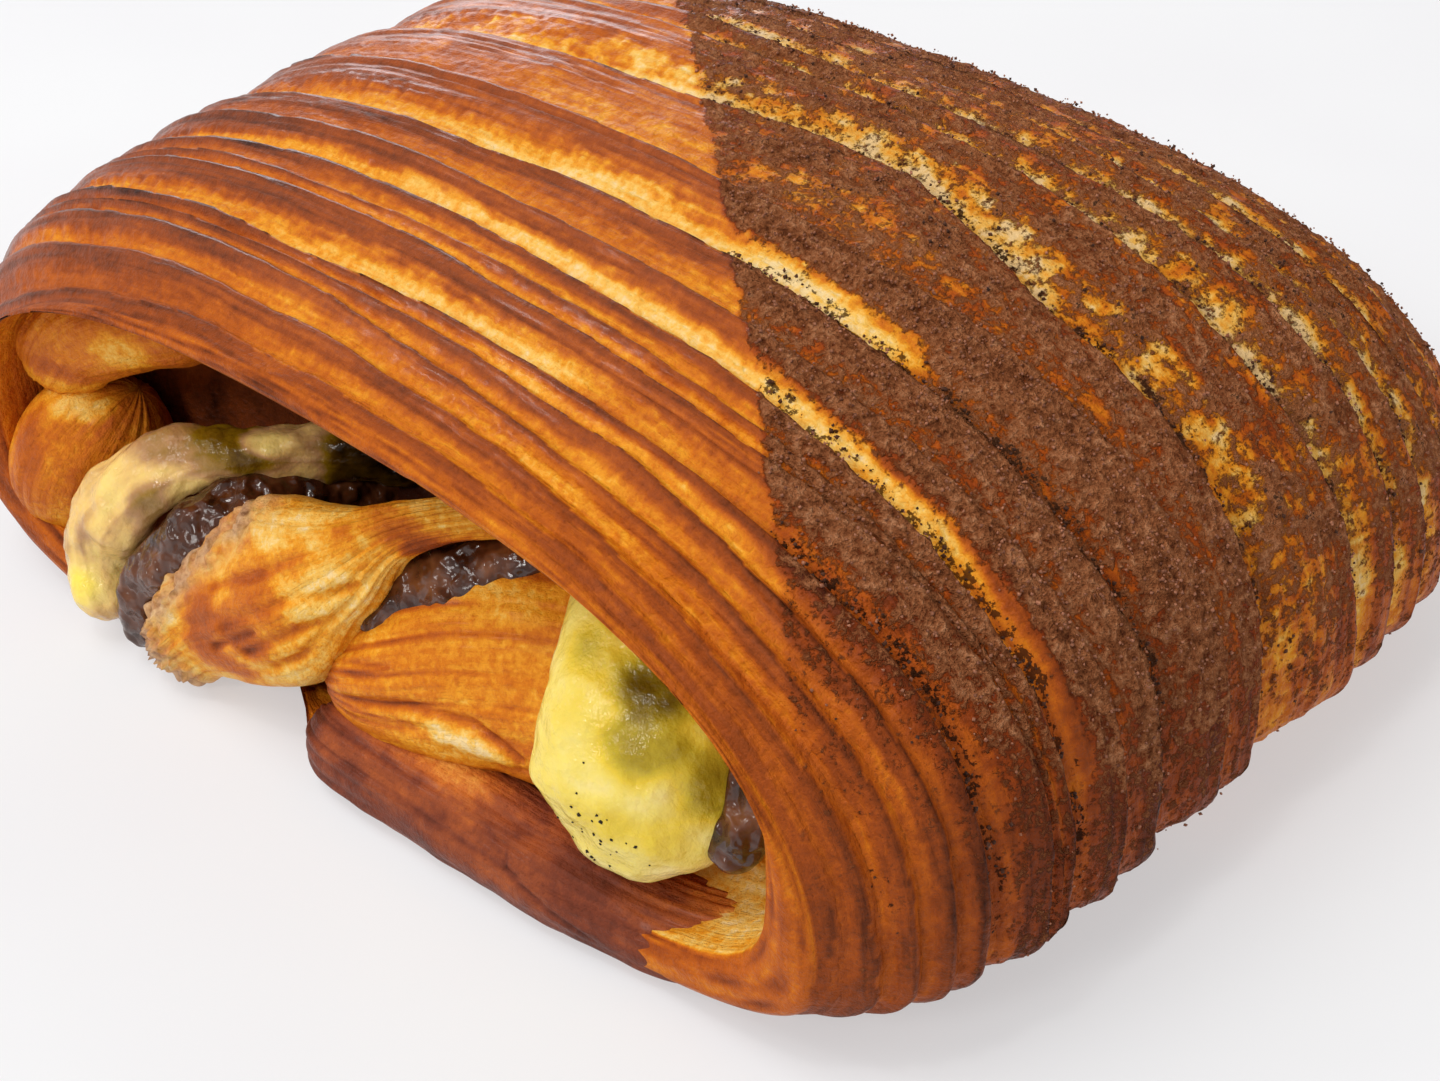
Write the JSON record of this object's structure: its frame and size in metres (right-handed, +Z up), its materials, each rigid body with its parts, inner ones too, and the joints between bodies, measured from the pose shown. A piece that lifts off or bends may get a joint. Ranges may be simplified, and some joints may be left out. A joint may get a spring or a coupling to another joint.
{
  "type": "filled danish pastry",
  "caption": "Flattened roll of ridged laminated dough, its open end showing folded dough, custard and chocolate filling.",
  "frame": {"origin": "on the surface it lies on, under the middle of the roll", "axes": "+Z up, +X across the width of the roll, +Y from the open mouth towards the closed far end"},
  "size_m": [0.12, 0.1061, 0.0449],
  "materials": {
    "baked_dough": "satin",
    "custard": "gloss",
    "chocolate": "gloss"
  },
  "bodies": {
    "root": {"pastry": "baked_dough", "custard": "custard", "chocolate_left": "chocolate", "chocolate_middle": "chocolate", "chocolate_right": "chocolate"}
  },
  "joints": []
}
